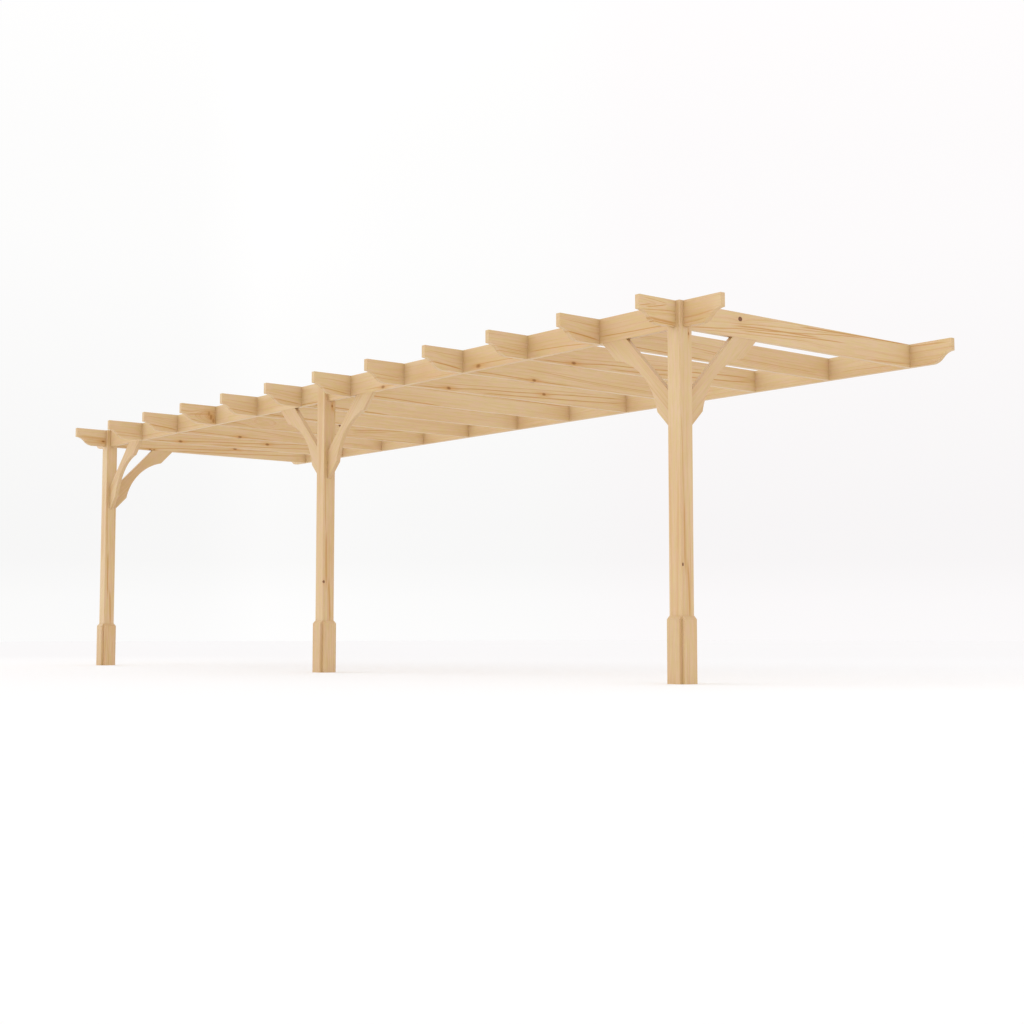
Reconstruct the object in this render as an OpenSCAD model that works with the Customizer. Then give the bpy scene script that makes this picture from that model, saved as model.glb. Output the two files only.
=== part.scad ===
// Lean-to pergola: three posts along the front, a front beam let into the
// post tops, a wall plate along the back and twelve rafters halved over both.
// Origin: centre of the wall plate's back face. +X along the wall, +Y into
// the wall, +Z up. All sizes in millimetres.

/* [Overall] */
// Height from the ground to the top of the beams and rafters
height = 2095; // [2000:5:2600]
// Distance between the centres of the two end posts
post_span = 7145; // [6600:5:8000]
// Distance from the centre of the front beam to the centre of the wall plate
depth = 2060; // [1600:5:2600]
// How far a rafter's shaped tail runs past the front beam
overhang = 305; // [260:5:400]
// How far the tails of the front beam and wall plate run past the end rafters
beam_overhang = 310; // [260:5:400]

/* [Timber] */
// Thickness of beams, rafters and braces
board_t = 33; // [28:1:40]
// Depth of beams and rafters
board_d = 147; // [130:1:180]
// Side of the square posts
post_w = 95; // [90:1:110]

/* [Rafters] */
// Number of rafters, evenly spaced, the outer two over the end posts
rafter_count = 12; // [12:2:12]

/* [Shaped tails] */
// Height of the upright end above the curve
tail_nose = 78; // [60:1:90]
// Length of the curve along the board
tail_run = 154; // [90:1:170]

/* [Braces] */
// Where the brace's upper edge meets the post and the beam
brace_inner = 363; // [300:1:420]
// Where the brace's lower edge meets the post and the beam
brace_outer = 563; // [500:1:620]
// Straight part of the brace's lower edge at each end
brace_straight = 161; // [100:1:180]
// Rise of the arch cut into the lower edge
brace_rise = 71; // [40:1:90]

/* [Plinths] */
// Height of the boards round the foot of a post
plinth_h = 368; // [300:1:420]
// Thickness of those boards
plinth_t = 21; // [18:1:28]
// Size of the bevel along their top outer edge
plinth_bevel = 20; // [10:1:20]

/* [Hidden] */

half_t = board_t / 2;
half_w = post_w / 2;
end_x = post_span / 2;                      // centre of the end posts and end rafters
pitch = post_span / (rafter_count - 1);     // rafter spacing
beam_end = end_x + half_t + beam_overhang;  // half length of both long beams
beam_y = -(depth + half_t);                 // centre line of the front beam
plate_y = -half_t;                          // centre line of the wall plate
top_z = board_d / 2;                        // top of beams and rafters
under_z = -board_d / 2;                     // underside of beams and rafters
ground_z = top_z - height;
tail_drop = board_d - tail_nose;
tail_a = 2 * atan(tail_drop / tail_run);    // sweep of each of the two equal arcs
tail_r = tail_run / 2 / sin(tail_a);
brace_chord = (brace_outer * sqrt(2) - 2 * brace_straight);
brace_r = (brace_chord * brace_chord / 4 + brace_rise * brace_rise) / (2 * brace_rise);
tail_steps = 10;

function rafter_x(i) = -end_x + i * pitch;

// Shaped end: x runs inward from the end, z runs down from the top edge.
// A hollow next to the nose, then a round down to the underside.
function tail_curve() = concat(
    [for (i = [0 : tail_steps])
        let (a = tail_a * i / tail_steps)
        [tail_r * sin(a), tail_nose + tail_r * (1 - cos(a))]],
    [for (i = [1 : tail_steps])
        let (a = tail_a * (1 - i / tail_steps))
        [tail_run - tail_r * sin(a), board_d - tail_r * (1 - cos(a))]]);

// Outline of a board along x from x0 to x1, z from 0 (top) down, with a
// shaped tail at the low end and, if both is set, at the high end too
module outline(x0, x1, both) {
    c = tail_curve();
    n = len(c);
    low = [for (p = c) [x0 + p[0], -p[1]]];
    high = both ? [for (i = [n - 1 : -1 : 0]) [x1 - c[i][0], -c[i][1]]]
                : [[x1, -board_d]];
    polygon(concat([[x0, 0]], low, high, [[x1, 0]]));
}

// A board standing on edge along X, centred on y = 0, top at top_z
module long_board(x0, x1)
    translate([0, half_t, top_z])
        rotate([90, 0, 0]) linear_extrude(board_t) outline(x0, x1, true);

// Notches cut from the top, half deep, one for every rafter
module rafter_notches()
    for (i = [0 : rafter_count - 1])
        translate([rafter_x(i) - half_t, -board_t, 0])
            cube([board_t, 2 * board_t, board_d]);

module front_beam()
    color([0.83, 0.70, 0.53])
    translate([0, beam_y, 0])
        difference() {
            long_board(-beam_end, beam_end);
            rafter_notches();
        }

module wall_plate()
    color([0.82, 0.69, 0.52])
    translate([0, plate_y, 0])
        difference() {
            long_board(-beam_end, beam_end);
            rafter_notches();
        }

// Rafter: shaped tail in front, square end flush with the wall plate's back,
// halved from below over both beams
module rafter(i)
    color([0.84, 0.71, 0.54])
    difference() {
        translate([rafter_x(i) - half_t, 0, top_z])
            rotate([90, 0, 90]) linear_extrude(board_t)
                outline(beam_y - half_t - overhang, 0, false);
        for (y = [beam_y - half_t, plate_y - half_t])
            translate([rafter_x(i) - board_t, y, -board_d])
                cube([2 * board_t, board_t + (y > -board_d ? 5 : 0), board_d]);
    }

module rafter_01() rafter(0);
module rafter_02() rafter(1);
module rafter_03() rafter(2);
module rafter_04() rafter(3);
module rafter_05() rafter(4);
module rafter_06() rafter(5);
module rafter_07() rafter(6);
module rafter_08() rafter(7);
module rafter_09() rafter(8);
module rafter_10() rafter(9);
module rafter_11() rafter(10);
module rafter_12() rafter(11);

// Post with the beam's slot through its top, and the rafter's at the ends
module post(x, rafter_slot)
    color([0.85, 0.73, 0.56])
    translate([x, beam_y, 0])
        difference() {
            translate([-half_w, -half_w, ground_z]) cube([post_w, post_w, height]);
            translate([-post_w, -half_t, under_z]) cube([2 * post_w, board_t, 2 * board_d]);
            if (rafter_slot)
                translate([-half_t, -post_w, under_z]) cube([board_t, 2 * post_w, 2 * board_d]);
        }

module post_left() post(-end_x, true);
module post_middle() post(0, false);
module post_right() post(end_x, true);

// Knee brace in the corner under a beam: x out from the post's face, z down
// from the beam's underside, arch cut into the lower edge
module brace()
    difference() {
        translate([0, half_t, 0]) rotate([90, 0, 0]) linear_extrude(board_t)
            polygon([[0, -brace_inner], [0, -brace_outer], [brace_outer, 0], [brace_inner, 0]]);
        // centre of the arch lies out along the diagonal, beyond the lower edge
        translate([brace_outer / 2 + (brace_r - brace_rise) / sqrt(2), 0,
                   -brace_outer / 2 - (brace_r - brace_rise) / sqrt(2)])
            rotate([90, 0, 0]) cylinder(r = brace_r, h = 2 * board_t, center = true, $fn = 96);
    }

// turn: 0 runs to +X, 180 to -X, 90 to +Y
module placed_brace(x, turn)
    color([0.83, 0.70, 0.53])
    translate([x, beam_y, under_z]) rotate([0, 0, turn])
        translate([half_w, 0, 0]) brace();

module brace_left_beam() placed_brace(-end_x, 0);
module brace_left_rafter() placed_brace(-end_x, 90);
module brace_middle_left() placed_brace(0, 180);
module brace_middle_right() placed_brace(0, 0);
module brace_right_beam() placed_brace(end_x, 180);
module brace_right_rafter() placed_brace(end_x, 90);

// Plinth board, as wide as the post, bevelled along its top outer edge
module plinth(x, turn)
    color([0.86, 0.75, 0.59])
    translate([x, beam_y, ground_z]) rotate([0, 0, turn])
        translate([half_w, half_w, 0]) rotate([90, 0, 0]) linear_extrude(post_w)
            polygon([[0, 0], [plinth_t, 0], [plinth_t, plinth_h - plinth_bevel],
                     [plinth_t - plinth_bevel, plinth_h], [0, plinth_h]]);

module plinth_left_front() plinth(-end_x, -90);
module plinth_left_back() plinth(-end_x, 90);
module plinth_left_left() plinth(-end_x, 180);
module plinth_left_right() plinth(-end_x, 0);
module plinth_middle_front() plinth(0, -90);
module plinth_middle_back() plinth(0, 90);
module plinth_middle_left() plinth(0, 180);
module plinth_middle_right() plinth(0, 0);
module plinth_right_front() plinth(end_x, -90);
module plinth_right_back() plinth(end_x, 90);
module plinth_right_left() plinth(end_x, 180);
module plinth_right_right() plinth(end_x, 0);

front_beam();
wall_plate();
rafter_01();
rafter_02();
rafter_03();
rafter_04();
rafter_05();
rafter_06();
rafter_07();
rafter_08();
rafter_09();
rafter_10();
rafter_11();
rafter_12();
post_left();
post_middle();
post_right();
brace_left_beam();
brace_left_rafter();
brace_middle_left();
brace_middle_right();
brace_right_beam();
brace_right_rafter();
plinth_left_front();
plinth_left_back();
plinth_left_left();
plinth_left_right();
plinth_middle_front();
plinth_middle_back();
plinth_middle_left();
plinth_middle_right();
plinth_right_front();
plinth_right_back();
plinth_right_left();
plinth_right_right();
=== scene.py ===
import bpy, math, random
from mathutils import Matrix, Vector


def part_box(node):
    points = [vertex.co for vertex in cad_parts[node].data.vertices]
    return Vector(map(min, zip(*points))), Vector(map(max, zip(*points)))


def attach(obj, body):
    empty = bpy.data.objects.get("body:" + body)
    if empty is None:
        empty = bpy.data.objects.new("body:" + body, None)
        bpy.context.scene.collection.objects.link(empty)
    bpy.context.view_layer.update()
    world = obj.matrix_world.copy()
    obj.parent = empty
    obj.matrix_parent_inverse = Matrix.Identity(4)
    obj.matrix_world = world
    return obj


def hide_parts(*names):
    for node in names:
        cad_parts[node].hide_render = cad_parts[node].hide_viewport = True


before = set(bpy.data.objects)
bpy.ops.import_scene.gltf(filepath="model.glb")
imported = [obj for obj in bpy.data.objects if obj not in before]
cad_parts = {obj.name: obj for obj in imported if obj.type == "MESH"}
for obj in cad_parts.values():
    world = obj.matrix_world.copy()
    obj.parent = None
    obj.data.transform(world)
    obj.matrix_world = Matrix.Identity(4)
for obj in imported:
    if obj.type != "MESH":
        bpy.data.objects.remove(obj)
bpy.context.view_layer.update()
scene = bpy.context.scene

# ---------------------------------------------------------------- sizes, read from the imported frame where it holds them; the tail curve, brace and plinth shapes and the joint clearance are given
fb_lo, fb_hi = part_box("front_beam")
wp_lo, wp_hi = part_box("wall_plate")
TOP, UNDER = fb_hi.z, fb_lo.z
DEPTH = TOP - UNDER                        # depth of beams and rafters
T = fb_hi.y - fb_lo.y                      # their thickness
BEAM_Y = (fb_lo.y + fb_hi.y) / 2
PLATE_Y = (wp_lo.y + wp_hi.y) / 2
BEAM_END = fb_hi.x
pl, pm, pr = (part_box("post_" + s) for s in ("left", "middle", "right"))
POST_W = pm[1].x - pm[0].x
GROUND = pm[0].z
POST_X = {"left": (pl[0].x + pl[1].x) / 2, "middle": (pm[0].x + pm[1].x) / 2, "right": (pr[0].x + pr[1].x) / 2}
RAFTERS = ["rafter_%02d" % i for i in range(1, 13)]
RX = [(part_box(n)[0].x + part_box(n)[1].x) / 2 for n in RAFTERS]
R_FRONT, R_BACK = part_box("rafter_01")[0].y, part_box("rafter_01")[1].y
NOSE = 0.078                               # upright end of a shaped tail
RUN = 0.154                                # length of its curve
BRACE_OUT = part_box("brace_middle_right")[1].x - POST_W / 2
BRACE_IN = BRACE_OUT - 0.200
PL_T = pm[0].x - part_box("plinth_middle_left")[0].x
PL_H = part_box("plinth_middle_left")[1].z - GROUND
PL_BEV = 0.020
FIT = 0.0001                               # clearance of a halving joint, each side

# ---------------------------------------------------------------- mesh code
def unit(x, y):
    l = math.hypot(x, y)
    return (x / l, y / l)


def inset(pts, widths, k):
    """The outline moved inward by k times each edge's own width. pts run anticlockwise; widths[i] belongs to the edge from pts[i] to the next."""
    out = []
    n = len(pts)
    for i in range(n):
        p0, p1, p2 = pts[i - 1], pts[i], pts[(i + 1) % n]
        d1, d2 = unit(p1[0] - p0[0], p1[1] - p0[1]), unit(p2[0] - p1[0], p2[1] - p1[1])
        n1, n2 = (-d1[1], d1[0]), (-d2[1], d2[0])
        w1, w2 = widths[i - 1] * k, widths[i] * k
        cross = d1[0] * d2[1] - d1[1] * d2[0]
        if abs(cross) < 0.25:
            w = (w1 + w2) / 2
            m = unit(n1[0] + n2[0], n1[1] + n2[1])
            c = max(0.5, m[0] * n1[0] + m[1] * n1[1])
            out.append((p1[0] + m[0] * w / c, p1[1] + m[1] * w / c))
        else:
            # where the two moved edges meet
            ax, ay = p1[0] + n1[0] * w1, p1[1] + n1[1] * w1
            bx, by = p1[0] + n2[0] * w2, p1[1] + n2[1] * w2
            s = ((bx - ax) * d2[1] - (by - ay) * d2[0]) / cross
            out.append((ax + d1[0] * s, ay + d1[1] * s))
    return out


def rounded(pts, widths, corners, r, seg=3):
    """Replaces the named corners of an outline by small arcs of radius r."""
    out, ow = [], []
    n = len(pts)
    for i in range(n):
        if i not in corners:
            out.append(pts[i]); ow.append(widths[i]); continue
        p0, p1, p2 = pts[i - 1], pts[i], pts[(i + 1) % n]
        d1, d2 = unit(p0[0] - p1[0], p0[1] - p1[1]), unit(p2[0] - p1[0], p2[1] - p1[1])
        ang = math.acos(max(-1, min(1, d1[0] * d2[0] + d1[1] * d2[1])))
        t = r / math.tan(ang / 2)
        m = unit(d1[0] + d2[0], d1[1] + d2[1])
        cx, cy = p1[0] + m[0] * r / math.sin(ang / 2), p1[1] + m[1] * r / math.sin(ang / 2)
        a = (p1[0] + d1[0] * t, p1[1] + d1[1] * t)
        b = (p1[0] + d2[0] * t, p1[1] + d2[1] * t)
        a0, a1 = math.atan2(a[1] - cy, a[0] - cx), math.atan2(b[1] - cy, b[0] - cx)
        while a1 - a0 > math.pi: a1 -= 2 * math.pi
        while a1 - a0 < -math.pi: a1 += 2 * math.pi
        w = max(widths[i - 1], widths[i]) if min(widths[i - 1], widths[i]) > 0 else 0.0
        for k in range(seg + 1):
            q = a0 + (a1 - a0) * k / seg
            out.append((cx + r * math.cos(q), cy + r * math.sin(q)))
            ow.append(widths[i] if k == seg else w)
    return out, ow


def prism(name, pts, widths, half, place, steps=3):
    """A closed solid: the outline pts (anticlockwise, in its own plane) made 2*half thick, with its long arrises eased by widths.
    place(a, b, w) gives the point in the row frame."""
    verts, faces, smooth = [], [], []
    n = len(pts)
    rings = []
    for side in (-1, 1):
        prof = []
        for j in range(steps + 1):
            q = math.pi / 2 * j / steps
            prof.append((1 - math.sin(q), 1 - math.cos(q)))       # (how far in from the edge, how far in from the face)
        # j = 0: on the face, inset by the full width; j = steps: on the rim
        for j in range(steps + 1):
            k_in, k_w = 1 - math.sin(math.pi / 2 * j / steps), 1 - math.cos(math.pi / 2 * j / steps)
            p = inset(pts, widths, k_in)
            ring = []
            for i, (a, b) in enumerate(p):
                wmax = max(widths[i], widths[i - 1])
                ring.append(len(verts))
                verts.append((a, b, side * (half - wmax * k_w)))
            rings.append((side, j, ring))
    low = [r for s, j, r in rings if s < 0]
    high = [r for s, j, r in rings if s > 0]
    order = low + high[::-1]
    for x, y in zip(order, order[1:]):
        mid = x is low[-1]
        for i in range(n):
            k = (i + 1) % n
            faces.append((x[i], x[k], y[k], y[i]))
            smooth.append(not mid)
    faces.append(tuple(reversed(low[0]))); smooth.append(False)
    faces.append(tuple(high[0])); smooth.append(False)
    mesh = bpy.data.meshes.new(name)
    mesh.from_pydata([place(*v) for v in verts], [], faces)
    mesh.validate()
    # outward normals
    import bmesh
    bm = bmesh.new(); bm.from_mesh(mesh)
    bmesh.ops.remove_doubles(bm, verts=bm.verts, dist=0.00001)
    bmesh.ops.dissolve_degenerate(bm, dist=0.00001, edges=bm.edges)
    bmesh.ops.recalc_face_normals(bm, faces=bm.faces)
    bm.to_mesh(mesh); bm.free()
    return mesh


def tail_curve(steps=16):
    """(distance from the end, depth below the top) along the shaped underside of a tail."""
    drop = DEPTH - NOSE
    a = 2 * math.atan2(drop, RUN)
    r = RUN / 2 / math.sin(a)
    c = [(r * math.sin(a * i / steps), NOSE + r * (1 - math.cos(a * i / steps))) for i in range(steps + 1)]
    c += [(RUN - r * math.sin(a * (1 - i / steps)), DEPTH - r * (1 - math.cos(a * (1 - i / steps)))) for i in range(1, steps + 1)]
    return c


def long_outline(x0, x1, notches):
    """Both ends shaped, notches cut half deep from the top."""
    c = tail_curve()
    pts, w = [], []
    pts.append((x0, TOP)); w.append(0.0012)
    for d, z in c:
        pts.append((x0 + d, TOP - z)); w.append(0.0012)
    w[-1] = 0.0016
    for d, z in reversed(c):
        pts.append((x1 - d, TOP - z)); w.append(0.0012)
    pts.append((x1, TOP)); w.append(0.0016)
    mid = (TOP + UNDER) / 2
    for x in reversed(notches):
        for px, pz, pw in ((x + T / 2 + FIT, TOP, 0.0002), (x + T / 2 + FIT, mid, 0.0002), (x - T / 2 - FIT, mid, 0.0002), (x - T / 2 - FIT, TOP, 0.0016)):
            pts.append((px, pz)); w.append(pw)
    top_l = 0
    nose_l = 1
    nose_r = 2 * len(c)
    top_r = 2 * len(c) + 1
    return rounded(pts, w, {top_l, nose_l, nose_r, top_r}, 0.0022)


def rafter_outline():
    c = tail_curve()
    pts, w = [], []
    pts.append((R_FRONT, TOP)); w.append(0.0012)
    for d, z in c:
        pts.append((R_FRONT + d, TOP - z)); w.append(0.0012)
    w[-1] = 0.0016
    mid = (TOP + UNDER) / 2
    n0 = len(pts)
    for px, pz, pw in ((BEAM_Y - T / 2 - FIT, UNDER, 0.0002), (BEAM_Y - T / 2 - FIT, mid, 0.0002), (BEAM_Y + T / 2 + FIT, mid, 0.0002), (BEAM_Y + T / 2 + FIT, UNDER, 0.0016),
                       (PLATE_Y - T / 2 - FIT, UNDER, 0.0002), (PLATE_Y - T / 2 - FIT, mid, 0.0002), (R_BACK, mid, 0.0008), (R_BACK, TOP, 0.0016)):
        pts.append((px, pz)); w.append(pw)
    return rounded(pts, w, {0, 1, len(pts) - 1}, 0.0022)


def brace_outline():
    """a: out from the post's face, b: up, 0 at the beam's underside."""
    o, i = BRACE_OUT, BRACE_IN
    straight, rise = 0.161, 0.071
    L = o * math.sqrt(2)
    chord = L - 2 * straight
    R = (chord * chord / 4 + rise * rise) / (2 * rise)
    half_a = math.asin(chord / 2 / R)
    pts, w = [(0, -i), (0, -o)], [0.0004, 0.002]
    s = math.sqrt(0.5)
    # along the lower edge from the post to the beam: point at distance q, raised by h towards the corner
    def at(q, h):
        return (q * s - h * s, -o + q * s + h * s)
    steps = 28
    for k in range(steps + 1):
        a = -half_a + 2 * half_a * k / steps
        q = L / 2 + R * math.sin(a)
        h = rise - R * (1 - math.cos(a))
        pts.append(at(q, h)); w.append(0.0018)
    pts.append((o, 0)); w.append(0.0004)
    pts.append((i, 0)); w.append(0.002)
    # the outline has to run anticlockwise
    return pts, w


def ccw(pts, w):
    area = sum(pts[i][0] * pts[(i + 1) % len(pts)][1] - pts[(i + 1) % len(pts)][0] * pts[i][1] for i in range(len(pts)))
    if area > 0:
        return pts, w
    pts2 = pts[::-1]
    w2 = w[::-1]
    w2 = w2[1:] + w2[:1]
    return pts2, w2


def grain_attributes(mesh, origin, along, side, seed):
    """Stores, for every point, where it lies in the tree the board was sawn from: along the grain, and the two distances across it from the pith.
    seed holds the pith's place and lean."""
    along, side = Vector(along).normalized(), Vector(side).normalized()
    up = along.cross(side)
    o = Vector(origin)
    pu, pv, tu, tv = seed
    at = mesh.attributes.new("grain", "FLOAT_VECTOR", "POINT")
    for i, v in enumerate(mesh.vertices):
        d = v.co - o
        l, a, b = d.dot(along), d.dot(side), d.dot(up)
        at.data[i].vector = (l, a - pu - tu * l, b - pv - tv * l)
    end = mesh.attributes.new("endcut", "FLOAT", "FACE")
    for i, p in enumerate(mesh.polygons):
        end.data[i].value = abs(p.normal.dot(along))
    for p in mesh.polygons:
        p.use_smooth = False


# ---------------------------------------------------------------- materials
class Tree:
    def __init__(self, name):
        self.mat = bpy.data.materials.new(name)
        self.mat.use_nodes = True
        self.nt = self.mat.node_tree
        self.nt.nodes.clear()

    def put(self, socket, value):
        if value is None:
            return
        if isinstance(value, bpy.types.NodeSocket):
            self.nt.links.new(value, socket)
        else:
            socket.default_value = value

    def node(self, kind, **props):
        n = self.nt.nodes.new(kind)
        for k, v in props.items():
            setattr(n, k, v)
        return n

    def math(self, op, a, b=None, c=None, clamp=False):
        n = self.node("ShaderNodeMath", operation=op, use_clamp=clamp)
        self.put(n.inputs[0], a); self.put(n.inputs[1], b); self.put(n.inputs[2], c)
        return n.outputs[0]

    def add(self, a, b): return self.math("ADD", a, b)
    def sub(self, a, b): return self.math("SUBTRACT", a, b)
    def mul(self, a, b): return self.math("MULTIPLY", a, b)
    def madd(self, a, b, c): return self.math("MULTIPLY_ADD", a, b, c)

    def smooth(self, x, lo, hi, to0=0.0, to1=1.0):
        n = self.node("ShaderNodeMapRange", interpolation_type="SMOOTHSTEP")
        self.put(n.inputs["Value"], x)
        n.inputs["From Min"].default_value = lo; n.inputs["From Max"].default_value = hi
        n.inputs["To Min"].default_value = to0; n.inputs["To Max"].default_value = to1
        return n.outputs["Result"]

    def xyz(self, x, y, z):
        n = self.node("ShaderNodeCombineXYZ")
        self.put(n.inputs[0], x); self.put(n.inputs[1], y); self.put(n.inputs[2], z)
        return n.outputs[0]

    def split(self, v):
        n = self.node("ShaderNodeSeparateXYZ")
        self.put(n.inputs[0], v)
        return n.outputs

    def noise(self, vec, scale=1.0, detail=2.0, rough=0.5, distort=0.0, color=False):
        n = self.node("ShaderNodeTexNoise", noise_dimensions="3D")
        self.put(n.inputs["Vector"], vec)
        n.inputs["Scale"].default_value = scale
        n.inputs["Detail"].default_value = detail
        n.inputs["Roughness"].default_value = rough
        n.inputs["Distortion"].default_value = distort
        return n.outputs["Color"] if color else n.outputs["Fac"]

    def mix(self, f, a, b):
        n = self.node("ShaderNodeMix", data_type="RGBA")
        self.put(n.inputs[0], f); self.put(n.inputs[6], a); self.put(n.inputs[7], b)
        return n.outputs[2]

    def curve(self, x, pts):
        """A smooth curve through the points (x, y), y within 0.1 of zero."""
        n = self.node("ShaderNodeFloatCurve")
        x0, x1 = pts[0][0], pts[-1][0]
        cur = n.mapping.curves[0]
        for k, (px, py) in enumerate(pts):
            at = ((px - x0) / (x1 - x0), (py + 0.1) / 0.2)
            if k == 0: cur.points[0].location = at
            elif k == len(pts) - 1: cur.points[-1].location = at
            else: cur.points.new(*at)
        n.mapping.update()
        self.put(n.inputs["Value"], self.math("MULTIPLY_ADD", x, 1 / (x1 - x0), -x0 / (x1 - x0), clamp=True))
        return self.madd(n.outputs[0], 0.2, -0.1)

    def attr(self, name, out):
        return self.node("ShaderNodeAttribute", attribute_name=name).outputs[out]


def rgb(r, g, b):
    """sRGB 0-255 to linear."""
    f = lambda c: (c / 255 / 12.92) if c / 255 <= 0.04045 else ((c / 255 + 0.055) / 1.055) ** 2.4
    return (f(r), f(g), f(b), 1.0)


EARLY = rgb(210.6, 178, 133.5)
PALE = rgb(214.6, 186, 143.5)
LATE = rgb(195, 148, 88)
RESIN = rgb(189, 134, 62)


def wood(name, seed, pith, knots=(), streaks=(), ring=0.0085, contrast=0.66, tone=(1.0, 1.0, 1.0), warp=0.28, bend_a=None, bend_b=None, fine=1.0, axis_of_knots="b", dust=1.0):
    """Pale planed pine. Its rings are circles round the pith, bent by slow waves and round the knots, so a board's wide face shows arches and its edge shows lines.
    pith: where the heart of the tree lay and how it leaned. bend_a, bend_b: the trunk's own bend, as points along the board and across it.
    knots: (along the board, across it, distance from its middle, radius, darkness, length over width, whether it has a dark rim), running in along axis_of_knots.
    streaks: (points along the board, half width, strength, axis), resinous lines."""
    t = Tree(name)
    pu, pv, tu, tv = pith
    g = t.attr("grain", "Vector")
    l, u, v = t.split(g)[:3]
    across = {"a": t.add(u, t.madd(l, tu, pu)), "b": t.add(v, t.madd(l, tv, pv))}
    rnd = random.Random(seed)
    off = [rnd.uniform(-40, 40) for _ in range(6)]
    # slow waves in the trunk, and small ones
    w1 = t.noise(t.xyz(t.madd(l, 1.1, off[0]), t.madd(u, 6.0, off[1]), t.madd(v, 6.0, off[2])), detail=1.0, color=True)
    wx, wy, wz = t.split(w1)[:3]
    w2 = t.noise(t.xyz(t.madd(l, 7.0, off[3]), t.madd(u, 30.0, off[1]), t.madd(v, 30.0, off[2])), detail=1.0, color=True)
    fx, fy, fz = t.split(w2)[:3]
    u1 = t.add(u, t.add(t.madd(wx, 0.030 * warp, -0.015 * warp), t.madd(fx, 0.0020, -0.0010)))
    v1 = t.add(v, t.add(t.madd(wy, 0.030 * warp, -0.015 * warp), t.madd(fy, 0.0020, -0.0010)))
    if bend_a:
        u1 = t.sub(u1, t.curve(l, bend_a))
    if bend_b:
        v1 = t.sub(v1, t.curve(l, bend_b))
    r = t.math("SQRT", t.add(t.mul(u1, u1), t.mul(v1, v1)))
    core = rim = halo = bend = None
    for (kl, ka, kb, kr, kd, kx, rimmed) in knots:
        # a knot runs through the board's thickness, or in from a post's side, leaning a little
        dl = t.sub(l, kl)
        if axis_of_knots == "b":
            through, depth, k0, kd0 = "a", "b", ka, kb
        else:
            through, depth, k0, kd0 = "b", "a", kb, ka
        inward = t.sub(across[depth], kd0)
        dc = t.sub(t.sub(across[through], k0), t.mul(inward, 0.25))
        on = t.smooth(t.mul(inward, 1.0 if kd0 > 0 else -1.0), *((-0.060, -0.034) if axis_of_knots == "b" else (-0.012, -0.004)))
        # how the grain swells round it
        q = t.add(t.math("POWER", t.mul(dl, 1 / (kr * 4.5)), 2.0), t.math("POWER", t.mul(dc, 1 / (kr * 2.0)), 2.0))
        h = t.mul(t.mul(t.math("EXPONENT", t.mul(q, -1.0)), kr * 1.5), on)
        bend = h if bend is None else t.add(bend, h)
        # the knot itself, its edge a little uneven
        d = t.math("SQRT", t.add(t.math("POWER", t.mul(dl, 1 / kx), 2.0), t.mul(dc, dc)))
        d = t.madd(t.sub(fx, 0.5), kr * 0.6, d)
        m = t.mul(t.mul(t.smooth(d, kr * 0.60, kr * 1.15, 1.0, 0.0), on), kd)
        core = m if core is None else t.math("MAXIMUM", core, m)
        if rimmed:
            m = t.mul(t.mul(t.smooth(d, kr * 0.20, kr * 0.80, 0.62, 1.0), t.smooth(d, kr * 0.90, kr * 1.25, 1.0, 0.0)), t.mul(on, kd))
        else:
            m = t.mul(t.mul(t.smooth(d, kr * 0.10, kr * 0.60, 1.0, 0.0), on), (0.55 if kr < 0.018 else 0.06) * kd)
        rim = m if rim is None else t.math("MAXIMUM", rim, m)
        # resin-stained wood before and after it, along the grain
        q = t.add(t.math("POWER", t.mul(dl, 1 / (kr * 3.2 * kx)), 2.0), t.math("POWER", t.mul(dc, 1 / (kr * 1.35)), 2.0))
        m = t.mul(t.mul(t.math("EXPONENT", t.mul(q, -1.0)), on), (0.25 if rimmed else 0.80) * min(1.0, kd))
        halo = m if halo is None else t.math("MAXIMUM", halo, m)
    if bend is not None:
        r = t.sub(r, bend)
    # year rings of uneven width, some much stronger than others
    years = t.mul(r, 1 / ring)
    years = t.add(years, t.mul(t.noise(t.xyz(t.mul(years, 0.37), off[4], t.mul(l, 0.25)), detail=1.0), 1.6))
    f = t.math("FRACT", years)
    late = t.mul(t.smooth(f, 0.30, 0.88), t.smooth(f, 0.93, 1.0, 1.0, 0.0))
    strong = t.smooth(t.noise(t.xyz(t.mul(t.math("FLOOR", years), 0.71), off[5], t.madd(l, 0.9, off[2])), detail=1.0), 0.50, 0.66, 0.04, 1.0)
    late = t.mul(late, strong)
    # finer growth lines between them
    f2 = t.math("FRACT", t.mul(years, 3.0))
    thin = t.mul(t.smooth(f2, 0.35, 0.80), t.smooth(f2, 0.86, 1.0, 1.0, 0.0))
    # broad soft bands along the board
    s1 = t.noise(t.xyz(t.madd(l, 0.8, off[2]), t.madd(r, 60.0, off[4]), t.madd(u, 7.0, off[5])), detail=2.0)
    s2 = t.noise(t.xyz(t.madd(l, 3.6, off[0]), t.madd(u1, 150.0, off[1]), t.madd(v1, 150.0, off[3])), detail=2.0, rough=0.6)
    # fibres and pores
    fib = t.noise(t.xyz(t.madd(l, 22.0, off[1]), t.madd(u, 1300.0, off[2]), t.madd(v, 1300.0, off[0])), detail=3.0, rough=0.65)
    mid = t.noise(t.xyz(t.madd(l, 7.0, off[3]), t.madd(u, 330.0, off[4]), t.madd(v, 330.0, off[1])), detail=2.0, rough=0.6)
    pore = t.smooth(t.noise(t.xyz(t.madd(l, 70.0, off[3]), t.madd(u, 2600.0, off[4]), t.madd(v, 2600.0, off[5])), detail=1.0), 0.70, 0.78)
    patch = t.noise(t.xyz(t.madd(l, 1.5, off[5]), t.madd(u, 6.0, off[3]), t.madd(v, 6.0, off[4])), detail=2.0)

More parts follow.
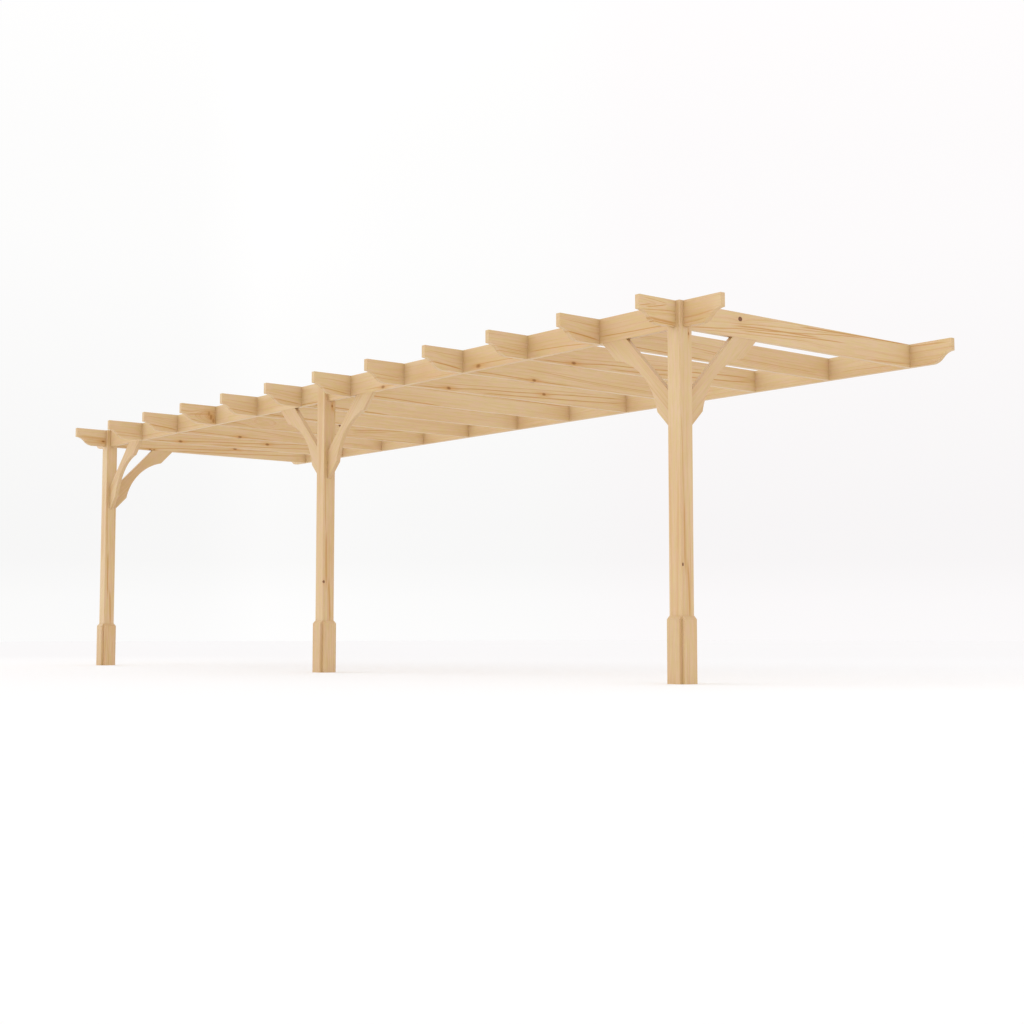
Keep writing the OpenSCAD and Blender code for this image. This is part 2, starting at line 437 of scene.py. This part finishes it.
    tint = lambda c: tuple(min(1.0, c[i] * tone[i]) for i in range(3)) + (1.0,)
    base = t.mix(t.smooth(patch, 0.3, 0.7), tint(EARLY), tint(PALE))
    base = t.mix(t.mul(t.smooth(s1, 0.50, 0.78), 0.50 * contrast), base, tint(LATE))
    base = t.mix(t.mul(t.smooth(s2, 0.48, 0.76), 0.42 * contrast), base, tint(LATE))
    base = t.mix(t.mul(thin, 0.11 * contrast), base, tint(LATE))
    base = t.mix(t.mul(late, 0.70 * contrast), base, tint(RESIN))
    # resinous lines that follow their own curve
    line = None
    for pts, half, strength, axis in streaks:
        x0, x1 = pts[0][0], pts[-1][0]
        centre = t.add(t.curve(l, pts), t.madd(fy, 0.0030, -0.0015))
        d = t.math("ABSOLUTE", t.sub(across[axis], centre))
        e = min(0.12, (x1 - x0) * 0.25)
        m = t.smooth(d, half * 0.15, half, 1.0, 0.0)
        m = t.mul(m, t.mul(t.smooth(l, x0 - e * 0.2, x0 + e), t.smooth(l, x1 - e, x1 + e * 0.2, 1.0, 0.0)))
        m = t.mul(m, t.madd(mid, 0.8 * strength, 0.75 * strength))
        line = m if line is None else t.math("MAXIMUM", line, m)
    if line is not None:
        base = t.mix(t.math("MINIMUM", line, 0.95), base, tint(RESIN))
    # patches a little pinker or yellower
    hue = t.noise(t.xyz(t.madd(l, 11.0, off[2]), t.madd(u1, 75.0, off[0]), t.madd(v1, 75.0, off[4])), detail=2.0)
    n = t.node("ShaderNodeVectorMath", operation="MULTIPLY")
    t.put(n.inputs[0], base)
    t.put(n.inputs[1], t.mix(t.smooth(hue, 0.36, 0.64), (1.018, 0.985, 1.050, 1.0), (0.986, 1.000, 0.895, 1.0)))
    base = n.outputs[0]
    # fibres as a fine light and dark
    k = t.madd(t.sub(fib, 0.5), 0.10 * fine, 1.0)
    k = t.mul(k, t.madd(t.sub(mid, 0.5), 0.16 * fine, 1.0))
    k = t.mul(k, t.madd(pore, -0.08, 1.0))
    n = t.node("ShaderNodeVectorMath", operation="SCALE")
    t.put(n.inputs[0], base); t.put(n.inputs[3], k)
    base = n.outputs[0]
    # end grain is a little darker and browner
    e = t.smooth(t.attr("endcut", "Fac"), 0.35, 0.95)
    n = t.node("ShaderNodeVectorMath", operation="MULTIPLY")
    t.put(n.inputs[0], base); n.inputs[1].default_value = (0.96, 0.94, 0.91)
    base = t.mix(e, base, n.outputs[0])
    # painted shade: faces turned downwards are darkened a little by their normal, standing in for the weaker light on
    # the undersides
    low = t.smooth(t.split(t.node("ShaderNodeNewGeometry").outputs["Normal"])[2], -0.9, -0.5, 0.978, 1.0)
    n = t.node("ShaderNodeVectorMath", operation="SCALE")
    t.put(n.inputs[0], base); t.put(n.inputs[3], low)
    base = n.outputs[0]
    if core is not None:
        base = t.mix(halo, base, rgb(200, 148, 82))
        base = t.mix(t.mul(core, 0.90), base, rgb(164, 112, 50))
        base = t.mix(t.mul(rim, 0.94), base, rgb(98, 48, 14))
    # painted shade: inner corners and creases are darkened by their ambient occlusion, standing in for the shade that
    # falls there
    ao = t.node("ShaderNodeAmbientOcclusion", samples=4)
    ao.inputs["Distance"].default_value = 0.045
    shade = t.smooth(ao.outputs["AO"], 0.40, 0.95)
    n = t.node("ShaderNodeVectorMath", operation="MULTIPLY")
    t.put(n.inputs[0], base); n.inputs[1].default_value = (1 - 0.10 * dust, 1 - 0.12 * dust, 1 - 0.16 * dust)
    base = t.mix(shade, n.outputs[0], base)
    bsdf = t.node("ShaderNodeBsdfPrincipled")
    t.put(bsdf.inputs["Base Color"], base)
    t.put(bsdf.inputs["Roughness"], t.add(t.madd(late, -0.08, 0.44), t.madd(fib, 0.10, -0.05)))
    bsdf.inputs["Specular IOR Level"].default_value = 0.50
    # planed surface: proud late wood, open fibres
    h = t.add(t.mul(late, 0.00004), t.add(t.mul(fib, 0.00005), t.mul(pore, -0.00006)))
    bump = t.node("ShaderNodeBump")
    bump.inputs["Strength"].default_value = 0.5
    bump.inputs["Distance"].default_value = 1.0
    t.put(bump.inputs["Height"], h)
    t.put(bsdf.inputs["Normal"], bump.outputs[0])
    out = t.node("ShaderNodeOutputMaterial")
    t.put(out.inputs["Surface"], bsdf.outputs[0])
    return t.mat


# ---------------------------------------------------------------- pieces
# what is particular to single boards; the rest comes from each board's own seed
HALF_T = T / 2
HALF_W = POST_W / 2


def red_knot(l, a, b=HALF_T, r=0.0112, dark=1.0, long=1.9): return (l, a, b, r, dark, long, False)
def rim_knot(l, a, b=HALF_T, r=0.0105, dark=1.0, long=1.1): return (l, a, b, r, dark, long, True)


def diagonal(k):
    """Boards with a strong line down across the tail and a slow one falling along the middle; k shifts them a little."""
    return dict(
        pith=(0.150 + 0.01 * k, -0.020 - 0.01 * k, 0, 0), contrast=0.48,
        bend_a=((0.0, 0.010), (0.05, 0.008), (0.30, -0.016), (0.62, 0.010), (1.13, 0.018), (1.69, 0.005), (2.42, 0.0)),
        streaks=((((0.04, -0.0240 + 0.002 * k), (0.16, -0.0350), (0.305, -0.0530 - 0.002 * k)), 0.0055, 1.0, "a"),
                 (((0.02, 0.0420), (0.14, 0.0360 + 0.003 * k), (0.290, 0.0300)), 0.0035, 0.45, "a"),
                 (((0.36, -0.0550), (0.60, -0.0560 + 0.002 * k), (0.90, -0.0630), (1.25, -0.0680)), 0.0045, 0.8, "a"),
                 (((0.80, 0.0110), (1.15, -0.0060), (1.40, -0.0210 + 0.003 * k), (1.80, -0.0310), (2.25, -0.0370)), 0.0040, 0.55, "a"),
                 (((1.10, -0.0180), (1.45, -0.0330), (1.90, -0.0430), (2.30, -0.0480 + 0.003 * k)), 0.0030, 0.40, "a")))


def quiet(k):
    """Boards with plain middles: lines only near the lower and upper edges."""
    return dict(
        pith=(-0.150 - 0.01 * k, -0.020 + 0.01 * k, 0, 0), contrast=0.42,
        bend_a=((0.0, 0.010), (0.05, 0.008), (0.30, -0.012), (0.62, 0.004), (1.13, 0.012), (1.69, 0.005), (2.42, 0.0)),
        streaks=((((0.05, -0.0340 + 0.002 * k), (0.16, -0.0440), (0.305, -0.0600 - 0.002 * k)), 0.0045, 0.75, "a"),
                 (((0.02, 0.0300), (0.14, 0.0270 + 0.003 * k), (0.290, 0.0180)), 0.0035, 0.40, "a"),
                 (((0.33, -0.0480), (0.55, -0.0550 + 0.002 * k), (0.80, -0.0600), (1.10, -0.0680)), 0.0050, 0.95, "a"),
                 (((0.60, 0.0660), (0.90, 0.0560), (1.30, 0.0500 + 0.002 * k), (1.80, 0.0440), (2.35, 0.0380)), 0.0048, 0.8, "a"),
                 (((0.80, 0.0480), (1.30, 0.0400), (2.00, 0.0330 + 0.002 * k)), 0.0030, 0.45, "a")))


def level(k):
    """Boards whose lines climb slowly through their knots."""
    return dict(
        pith=(-0.165 - 0.01 * k, -0.015 + 0.01 * k, 0, 0), contrast=0.50,
        bend_a=((0.0, 0.002), (0.30, -0.003), (0.60, -0.010), (0.87, 0.000), (1.32, 0.016), (1.70, 0.028), (2.42, 0.040)),
        streaks=((((0.02, -0.0450 + 0.002 * k), (0.16, -0.0460), (0.300, -0.0500)), 0.0035, 0.6, "a"),
                 (((0.04, -0.0180), (0.16, -0.0230 - 0.002 * k), (0.300, -0.0300)), 0.0035, 0.6, "a"),
                 (((0.38, -0.0640), (0.68, -0.0580), (0.95, -0.0400 + 0.002 * k), (1.25, -0.0280), (1.55, -0.0130), (1.90, 0.0050), (2.32, 0.0190)), 0.0045, 0.9, "a"),
                 (((0.95, -0.0620), (1.25, -0.0550), (1.60, -0.0450 + 0.003 * k), (1.95, -0.0300), (2.34, -0.0120)), 0.0048, 0.8, "a"),
                 (((0.60, -0.0300), (0.95, -0.0150), (1.40, 0.0050 + 0.003 * k), (1.75, 0.0210), (2.10, 0.0300)), 0.0038, 0.45, "a")))


LOOKS = {
    "rafter_01": dict(dict(level(0.4), streaks=level(0.4)["streaks"] + ((((0.0, 0.0040), (0.15, -0.0030), (0.300, -0.0100)), 0.0190, 0.42, "a"),)), knots=(red_knot(0.248, -0.0302, r=0.0090), red_knot(1.581, 0.003), red_knot(0.705, -0.0670, r=0.0080, long=1.6), red_knot(0.745, -0.0670, r=0.0080, long=1.6))),
    "rafter_02": dict(level(0.0), knots=(red_knot(0.673, -0.0570), red_knot(1.548, -0.0173))),
    "rafter_03": dict(diagonal(0.0), knots=(red_knot(0.896, -0.0640),)),
    "rafter_04": dict(
        pith=(-0.018, 0.0425, 0, 0), ring=0.0085, contrast=0.85,
        bend_b=((0.0, 0.030), (0.30, 0.040), (0.55, 0.030), (0.66, 0.012), (0.758, 0.0), (0.86, 0.012), (0.97, 0.030), (1.4, 0.045), (2.42, 0.050)),
        knots=(rim_knot(1.485, 0.0178, r=0.0085), red_knot(0.244, 0.0100, r=0.0200, dark=0.55, long=0.55), red_knot(0.262, -0.0180, r=0.0240, dark=0.75, long=0.55), red_knot(0.284, -0.0460, r=0.0200, dark=0.60, long=0.60)),
        streaks=((((0.04, -0.0120), (0.14, -0.0030), (0.27, 0.0080)), 0.0050, 0.8, "a"),
                 (((1.58, -0.0110), (1.75, -0.0010), (1.95, 0.0110), (2.16, 0.0210)), 0.0045, 1.2, "a"),
                 (((1.62, -0.0260), (1.80, -0.0130), (2.00, -0.0010)), 0.0030, 0.8, "a"),
                 (((1.70, -0.0500), (1.95, -0.0420), (2.25, -0.0300)), 0.0030, 0.5, "a"))),
    "rafter_05": dict(quiet(-1.0)),
    "rafter_06": dict(quiet(0.3)),
    "rafter_07": dict(quiet(1.0)),
    "rafter_08": dict(level(0.7), knots=(red_knot(0.682, -0.0571), red_knot(1.546, -0.0157))),
    "rafter_09": dict(diagonal(0.3), knots=(red_knot(0.905, -0.0615),)),
    "rafter_10": dict(level(1.2), knots=(red_knot(0.682, -0.0572),)),
    "rafter_11": dict(diagonal(-0.4)),
    "rafter_12": dict(
        pith=(0.100, 0.0415, 0, 0), contrast=0.50, tone=(1.03, 1.052, 1.058),
        bend_a=((0.0, -0.070), (0.14, -0.066), (0.27, -0.064), (0.29, -0.055), (0.345, 0.000), (0.37, 0.010), (0.411, 0.012), (0.853, 0.038), (1.223, 0.062), (1.612, 0.057), (2.42, 0.060)),
        bend_b=((0.0, -0.0156), (0.14, -0.0044), (0.27, 0.006), (0.37, -0.060), (0.60, -0.070), (2.42, -0.060)),
        knots=(rim_knot(0.795, 0.0360, r=0.0118, long=1.35),),
        streaks=((((0.370, -0.0610), (0.60, -0.0400), (0.80, -0.0190), (1.05, -0.0030), (1.35, 0.0200), (1.65, 0.0460), (1.90, 0.0600)), 0.0036, 0.95, "a"),
                 (((0.72, -0.0100), (0.95, 0.0020), (1.20, 0.0070), (1.50, 0.0110)), 0.0065, 0.80, "a"),
                 (((0.78, -0.0290), (1.05, -0.0180), (1.30, -0.0060), (1.55, 0.0040), (1.75, 0.0080)), 0.0042, 0.95, "a"),
                 (((0.70, 0.0020), (1.00, 0.0220), (1.30, 0.0380), (1.65, 0.0560)), 0.0030, 0.65, "a"),
                 (((0.45, -0.0660), (0.70, -0.0510), (1.00, -0.0380), (1.42, -0.0210)), 0.0030, 0.55, "a"),
                 (((1.30, 0.0540), (1.60, 0.0630), (1.95, 0.0665), (2.34, 0.0690)), 0.0052, 1.0, "a"),
                 (((1.95, -0.0660), (2.15, -0.0610), (2.36, -0.0530)), 0.0060, 0.6, "a"),
                 (((0.02, 0.0590), (0.10, 0.0560), (0.215, 0.0470)), 0.0030, 0.55, "a"),
                 (((0.04, 0.0110), (0.12, 0.0210), (0.215, 0.0430)), 0.0034, 0.90, "a"),
                 (((0.00, 0.0120), (0.04, 0.0200), (0.090, 0.0310)), 0.0034, 0.80, "a"),
                 (((0.01, -0.0080), (0.12, 0.0010), (0.20, 0.0080), (0.290, 0.0120)), 0.0032, 0.75, "a"),
                 (((0.04, -0.0450), (0.15, -0.0500), (0.290, -0.0570)), 0.0100, 0.65, "a"),
                 (((0.07, -0.0610), (0.18, -0.0640), (0.290, -0.0670)), 0.0034, 1.0, "a"))),
    "wall_plate": dict(pith=(-0.140, -0.025, 0, 0), contrast=0.5,
        streaks=((((3.55, 0.0620), (3.70, 0.0560), (3.88, 0.0500)), 0.0060, 0.6, "a"),
                 (((3.00, -0.0300), (3.25, -0.0350), (3.50, -0.0450)), 0.0035, 0.5, "a"))),
    "front_beam": dict(
        pith=(-0.150, -0.020, 0, 0), contrast=0.42,
        bend_a=((-3.9, -0.02), (-2.6, -0.012), (-1.2, -0.004), (0.2, 0.004), (1.7, 0.010), (2.1, 0.006), (2.5, 0.012), (2.81, 0.0), (3.2, 0.004), (3.9, 0.010)),
        knots=(red_knot(1.801, -0.0500, r=0.0135, dark=0.80), red_knot(0.740, -0.0558, r=0.0120, dark=0.92)),
        streaks=((((2.28, -0.0290), (2.50, -0.0350), (2.70, -0.0450), (2.86, -0.0590)), 0.0045, 0.85, "a"),
                 (((1.70, -0.0390), (1.90, -0.0410), (2.10, -0.0460), (2.27, -0.0530)), 0.0038, 0.85, "a"),
                 (((2.90, -0.0300), (3.10, -0.0350), (3.30, -0.0400), (3.56, -0.0450)), 0.0045, 0.90, "a"),
                 (((3.58, -0.0200), (3.70, -0.0240), (3.86, -0.0120)), 0.0070, 0.55, "a"),
                 (((3.60, -0.0540), (3.72, -0.0530), (3.80, -0.0480)), 0.0035, 0.70, "a"),
                 (((1.10, 0.0000), (2.60, 0.0050), (3.90, 0.0000)), 0.1400, 0.17, "a"),
                 (((-0.38, -0.0600), (-0.15, -0.0630), (0.08, -0.0660)), 0.0045, 0.90, "a"),
                 (((0.50, -0.0470), (0.70, -0.0520), (0.95, -0.0590)), 0.0036, 0.70, "a"),
                 (((1.20, -0.0560), (1.40, -0.0600), (1.60, -0.0620)), 0.0036, 0.50, "a"),
                 (((-2.30, -0.0400), (-2.00, -0.0460), (-1.68, -0.0500)), 0.0036, 0.45, "a"),
                 (((-3.00, -0.0350), (-2.70, -0.0420), (-2.35, -0.0480)), 0.0034, 0.40, "a"))),
}


def post_streaks():
    """Golden bands on the side of every post."""
    return ((((0.34, 0.0140), (0.50, 0.0100), (0.68, -0.0010)), 0.0115, 0.60, "b"),
            (((0.58, -0.0180), (0.80, -0.0210), (1.02, -0.0220)), 0.0095, 0.70, "b"),
            (((1.00, -0.0270), (1.25, -0.0330), (1.48, -0.0385)), 0.0030, 0.85, "b"))


LOOKS["post_left"] = dict(streaks=post_streaks())
LOOKS["post_middle"] = dict(streaks=post_streaks(), knots=(red_knot(1.914, HALF_W, 0.0185, r=0.0080, long=1.5), rim_knot(0.645, HALF_W, -0.0390, r=0.0072, long=1.35)))
LOOKS["post_right"] = dict(streaks=post_streaks(), knots=(rim_knot(0.645, HALF_W, -0.0365, r=0.0058, long=1.6), red_knot(1.914, HALF_W, 0.0225, r=0.0052, long=2.2)))


def piece(node, mesh, slot, origin, along, side, seed, pith, **look):
    look.update(LOOKS.get(node, {}))
    pith = look.pop("pith", pith)
    o = bpy.data.objects.new("timber_" + node, mesh)
    scene.collection.objects.link(o)
    grain_attributes(mesh, origin, along, side, pith)
    mesh.materials.append(wood("wood_" + node, seed, pith, **look))
    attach(o, "root")
    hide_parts(node)
    return o


def pith_for(rnd, wide, thick):
    """Where the pith lay: usually beyond one wide face, so that face shows arches."""
    pu = rnd.uniform(-0.35, 0.35) * wide
    pv = rnd.choice([-1, 1]) * (thick / 2 + rnd.uniform(0.015, 0.06))
    return (pu, pv, rnd.uniform(-0.008, 0.008), rnd.uniform(-0.012, 0.012))


rnd = random.Random(733)
LONG_TONE = (1.03, 1.06, 1.085)

# long boards: a is X, b is Z, thickness along Y
for node, y, sd in (("front_beam", BEAM_Y, 11), ("wall_plate", PLATE_Y, 12)):
    pts, w = ccw(*long_outline(-BEAM_END, BEAM_END, RX))
    m = prism(node, pts, w, T / 2, lambda a, b, c, y=y: (a, y + c, b))
    piece(node, m, "beam_timber", (0, y, 0), (1, 0, 0), (0, 0, 1), sd, pith_for(rnd, DEPTH, T), tone=LONG_TONE)

# rafters: a is Y, b is Z, thickness along X
for i, node in enumerate(RAFTERS):
    pts, w = ccw(*rafter_outline())
    m = prism(node, pts, w, T / 2, lambda a, b, c, x=RX[i]: (x + c, a, b))
    piece(node, m, "rafter_timber", (RX[i], R_FRONT, 0), (0, 1, 0), (0, 0, 1), 20 + i, pith_for(rnd, DEPTH, T), tone=LONG_TONE)


def cut(mesh, boxes):
    """Takes boxes out of a mesh."""
    o = bpy.data.objects.new("tmp", mesh)
    scene.collection.objects.link(o)
    tools = []
    for lo, hi in boxes:
        bmx = bpy.data.meshes.new("cutter")
        vs = [(x, y, z) for x in (lo[0], hi[0]) for y in (lo[1], hi[1]) for z in (lo[2], hi[2])]
        bmx.from_pydata(vs, [], [(0, 1, 3, 2), (4, 6, 7, 5), (0, 4, 5, 1), (2, 3, 7, 6), (0, 2, 6, 4), (1, 5, 7, 3)])
        c = bpy.data.objects.new("cutter", bmx)
        scene.collection.objects.link(c)
        md = o.modifiers.new("cut", "BOOLEAN")
        md.operation = "DIFFERENCE"; md.solver = "EXACT"; md.object = c
        tools.append(c)
    bpy.context.view_layer.update()
    dg = bpy.context.evaluated_depsgraph_get()
    res = bpy.data.meshes.new_from_object(o.evaluated_get(dg))
    bpy.data.objects.remove(o)
    for c in tools:
        bpy.data.objects.remove(c)
    return res


def post_mesh(name, x, cross):
    h = POST_W / 2
    pts = [(-h, -h), (h, -h), (h, h), (-h, h)]
    pts, w = rounded(pts, [0.0] * 4, {0, 1, 2, 3}, 0.003, seg=4)
    w = [0.001] * len(pts)
    zc, zh = (TOP + GROUND) / 2, (TOP - GROUND) / 2
    m = prism(name, pts, w, zh, lambda a, b, c: (x + a, BEAM_Y + b, zc + c), steps=2)
    e = 0.0002
    boxes = [((x - 1, BEAM_Y - T / 2 - e, UNDER - 0.0001), (x + 1, BEAM_Y + T / 2 + e, TOP + 1))]
    if cross:
        boxes.append(((x - T / 2 - e, BEAM_Y - 1, UNDER - 0.0001), (x + T / 2 + e, BEAM_Y + 1, TOP + 1)))
    return cut(m, boxes)


for k, (s, x) in enumerate(POST_X.items()):
    m = post_mesh("post_" + s, x, s != "middle")
    # the posts get weaker painted shade in their inner corners
    piece("post_" + s, m, "post_timber", (x, BEAM_Y, GROUND), (0, 0, 1), (1, 0, 0), 50 + k, (rnd.uniform(-.02, .02), rnd.uniform(.03, .08), rnd.uniform(-.006, .006), rnd.uniform(-.006, .006)), ring=0.010, contrast=0.55, tone=(1.004, 1.016, 1.022), axis_of_knots="a", dust=0.4)

# braces
for k, (node, px, turn) in enumerate((("brace_left_beam", "left", 0), ("brace_left_rafter", "left", 90), ("brace_middle_left", "middle", 180),
                                      ("brace_middle_right", "middle", 0), ("brace_right_beam", "right", 180), ("brace_right_rafter", "right", 90))):
    pts, w = ccw(*brace_outline())
    x = POST_X[px]
    c, s = math.cos(math.radians(turn)), math.sin(math.radians(turn))
    def place(a, b, th, x=x, c=c, s=s):
        q = POST_W / 2 + a
        return (x + q * c - th * s, BEAM_Y + q * s + th * c, UNDER + b)
    m = prism(node, pts, w, T / 2, place)
    along = Vector((c, s, 1)).normalized()
    mid = (POST_W / 2 + BRACE_OUT / 2 * 0.8)
    piece(node, m, "brace_timber", (x + mid * c, BEAM_Y + mid * s, UNDER - BRACE_OUT / 2 * 0.8), along, Vector((c, s, -1)).normalized(), 70 + k, pith_for(rnd, 0.145, T), contrast=0.46, tone=(0.973, 0.982, 0.985))

# plinth boards
for k, px in enumerate(("left", "middle", "right")):
    for j, (side, turn) in enumerate((("front", -90), ("back", 90), ("left", 180), ("right", 0))):
        node = "plinth_%s_%s" % (px, side)
        pts = [(0, 0), (PL_T, 0), (PL_T, PL_H - PL_BEV), (PL_T - PL_BEV, PL_H), (0, PL_H)]
        w = [0.0005, 0.002, 0.0004, 0.0002, 0.0002]
        x = POST_X[px]
        c, s = math.cos(math.radians(turn)), math.sin(math.radians(turn))
        def place(a, b, th, x=x, c=c, s=s):
            q = POST_W / 2 + a
            return (x + q * c - th * s, BEAM_Y + q * s + th * c, GROUND + b)
        pts, w = ccw(pts, w)
        m = prism(node, pts, w, POST_W / 2, place)
        # the plinth boards get no painted shade in their inner corners
        piece(node, m, "plinth_timber", (x + POST_W / 2 * c, BEAM_Y + POST_W / 2 * s, GROUND), (0, 0, 1), (-s, c, 0), 90 + 4 * k + j,
              (rnd.uniform(-.03, .03), rnd.choice([-1, 1]) * rnd.uniform(.02, .06), rnd.uniform(-.02, .02), rnd.uniform(-.02, .02)), contrast=0.75, dust=0.0,
              tone=(0.945, 0.942, 0.925) if node == "plinth_right_front" else (0.970, 0.975, 0.980) if side == "front" else (0.995, 1.000, 1.000))

# ---------------------------------------------------------------- floor, light and camera
floor_mesh = bpy.data.meshes.new("floor")
S = 60
floor_mesh.from_pydata([(-S, -S, GROUND), (S, -S, GROUND), (S, S, GROUND), (-S, S, GROUND)], [], [(0, 1, 2, 3)])
floor = bpy.data.objects.new("floor", floor_mesh)
scene.collection.objects.link(floor)
fm = Tree("floor_white")
d = fm.node("ShaderNodeBsdfDiffuse")
# painted shade: the floor is greyer in a broad patch around and behind the pergola, and greyer still far behind it,
# laid along two fixed directions on the ground; it stands in for the soft ground shadow and the dimmer floor there
fx_, fy_ = fm.split(fm.node("ShaderNodeNewGeometry").outputs["Position"])[:2]
behind = fm.add(fm.mul(fx_, -0.773), fm.mul(fy_, 0.634))
beside = fm.add(fm.mul(fx_, 0.634), fm.mul(fy_, 0.773))
shaded = fm.mul(fm.smooth(behind, -5.0, 1.0), fm.smooth(beside, -4.4, -1.8))
near = fm.mix(shaded, (0.937, 0.936, 0.936, 1), (0.900, 0.899, 0.902, 1))
fm.put(d.inputs["Color"], fm.mix(fm.smooth(behind, 1.5, 9.0), near, (0.885, 0.880, 0.882, 1)))
o = fm.node("ShaderNodeOutputMaterial")
fm.put(o.inputs["Surface"], d.outputs[0])
floor_mesh.materials.append(fm.mat)

world = bpy.data.worlds.new("studio")
scene.world = world
world.use_nodes = True
wt = world.node_tree
back = wt.nodes["Background"]
# a pale studio: a little darker near the horizon, brightest overhead
tc = wt.nodes.new("ShaderNodeTexCoord")
sep = wt.nodes.new("ShaderNodeSeparateXYZ")
wt.links.new(tc.outputs["Generated"], sep.inputs[0])
ramp = wt.nodes.new("ShaderNodeValToRGB")
wt.links.new(sep.outputs[2], ramp.inputs[0])
stops = ((0.0, 252), (0.0227, 251), (0.047, 247.5), (0.073, 247.5), (0.117, 249), (0.179, 251), (0.2385, 253), (0.297, 253.5), (0.378, 255.5), (0.60, 256.5))
el = ramp.color_ramp.elements
while len(el) < len(stops):
    el.new(0.5)
for e, (p, c) in zip(el, stops):
    e.position = p
    e.color = rgb(c, c - 0.3, c - 0.6)
turn = wt.nodes.new("ShaderNodeMath"); turn.operation = "ARCTAN2"
flip = wt.nodes.new("ShaderNodeMath"); flip.operation = "MULTIPLY"; flip.inputs[1].default_value = -1.0
wt.links.new(sep.outputs[0], flip.inputs[0])
wt.links.new(flip.outputs[0], turn.inputs[0]); wt.links.new(sep.outputs[1], turn.inputs[1])
span = wt.nodes.new("ShaderNodeMapRange")
span.inputs["From Min"].default_value = math.radians(30); span.inputs["From Max"].default_value = math.radians(70)
wt.links.new(turn.outputs[0], span.inputs["Value"])
around = wt.nodes.new("ShaderNodeValToRGB")
wt.links.new(span.outputs["Result"], around.inputs[0])
# the corner of the room: one wall a touch pinker, brightest beside the corner
walls = ((0.0, (0.975, 0.960, 0.967)), (0.40, (0.975, 0.960, 0.967)), (0.49, (0.978, 0.977, 0.977)), (0.62, (0.985, 0.985, 0.985)), (0.74, (1.0, 1.0, 1.0)), (0.80, (0.975, 0.975, 0.975)), (1.0, (0.970, 0.970, 0.970)))
el = around.color_ramp.elements
while len(el) < len(walls):
    el.new(0.5)
for e, (p, c) in zip(el, walls):
    e.position = p
    e.color = c + (1.0,)
both = wt.nodes.new("ShaderNodeVectorMath"); both.operation = "MULTIPLY"
wt.links.new(ramp.outputs[0], both.inputs[0]); wt.links.new(around.outputs[0], both.inputs[1])
wt.links.new(both.outputs[0], back.inputs[0])
back.inputs[1].default_value = 1.027

sun_d = bpy.data.lights.new("key", "SUN")
sun_d.energy = 0.62
sun_d.angle = math.radians(75)
sun_d.color = (1.0, 0.995, 0.985)
sun = bpy.data.objects.new("key", sun_d)
scene.collection.objects.link(sun)
direction = Vector((0.68, 0.62, -0.40))    # the way the light travels
sun.rotation_euler = direction.to_track_quat("-Z", "Y").to_euler()

fill_d = bpy.data.lights.new("fill", "AREA")
fill_d.shape = "SQUARE"; fill_d.size = 3.0; fill_d.energy = 8.0
fill = bpy.data.objects.new("fill", fill_d)
scene.collection.objects.link(fill)
fill.location = (7.6, BEAM_Y - 0.4, GROUND + 1.6)
fill.rotation_euler = Vector((-1, 0.1, 0)).to_track_quat("-Z", "Y").to_euler()
fill.visible_camera = False

cam_d = bpy.data.cameras.new("camera")
cam_d.sensor_width = 36.0
cam_d.lens = 36.0 * 1587.54 / 1024
cam_d.clip_end = 300
cam = bpy.data.objects.new("camera", cam_d)
scene.collection.objects.link(cam)
cam.location = (9.66599, -6.18882 + BEAM_Y, 0.25971 + GROUND)
cam.rotation_euler = (math.radians(90 + 4.460), 0, math.radians(50.649))
scene.camera = cam

scene.view_settings.view_transform = "Standard"
scene.view_settings.look = "None"
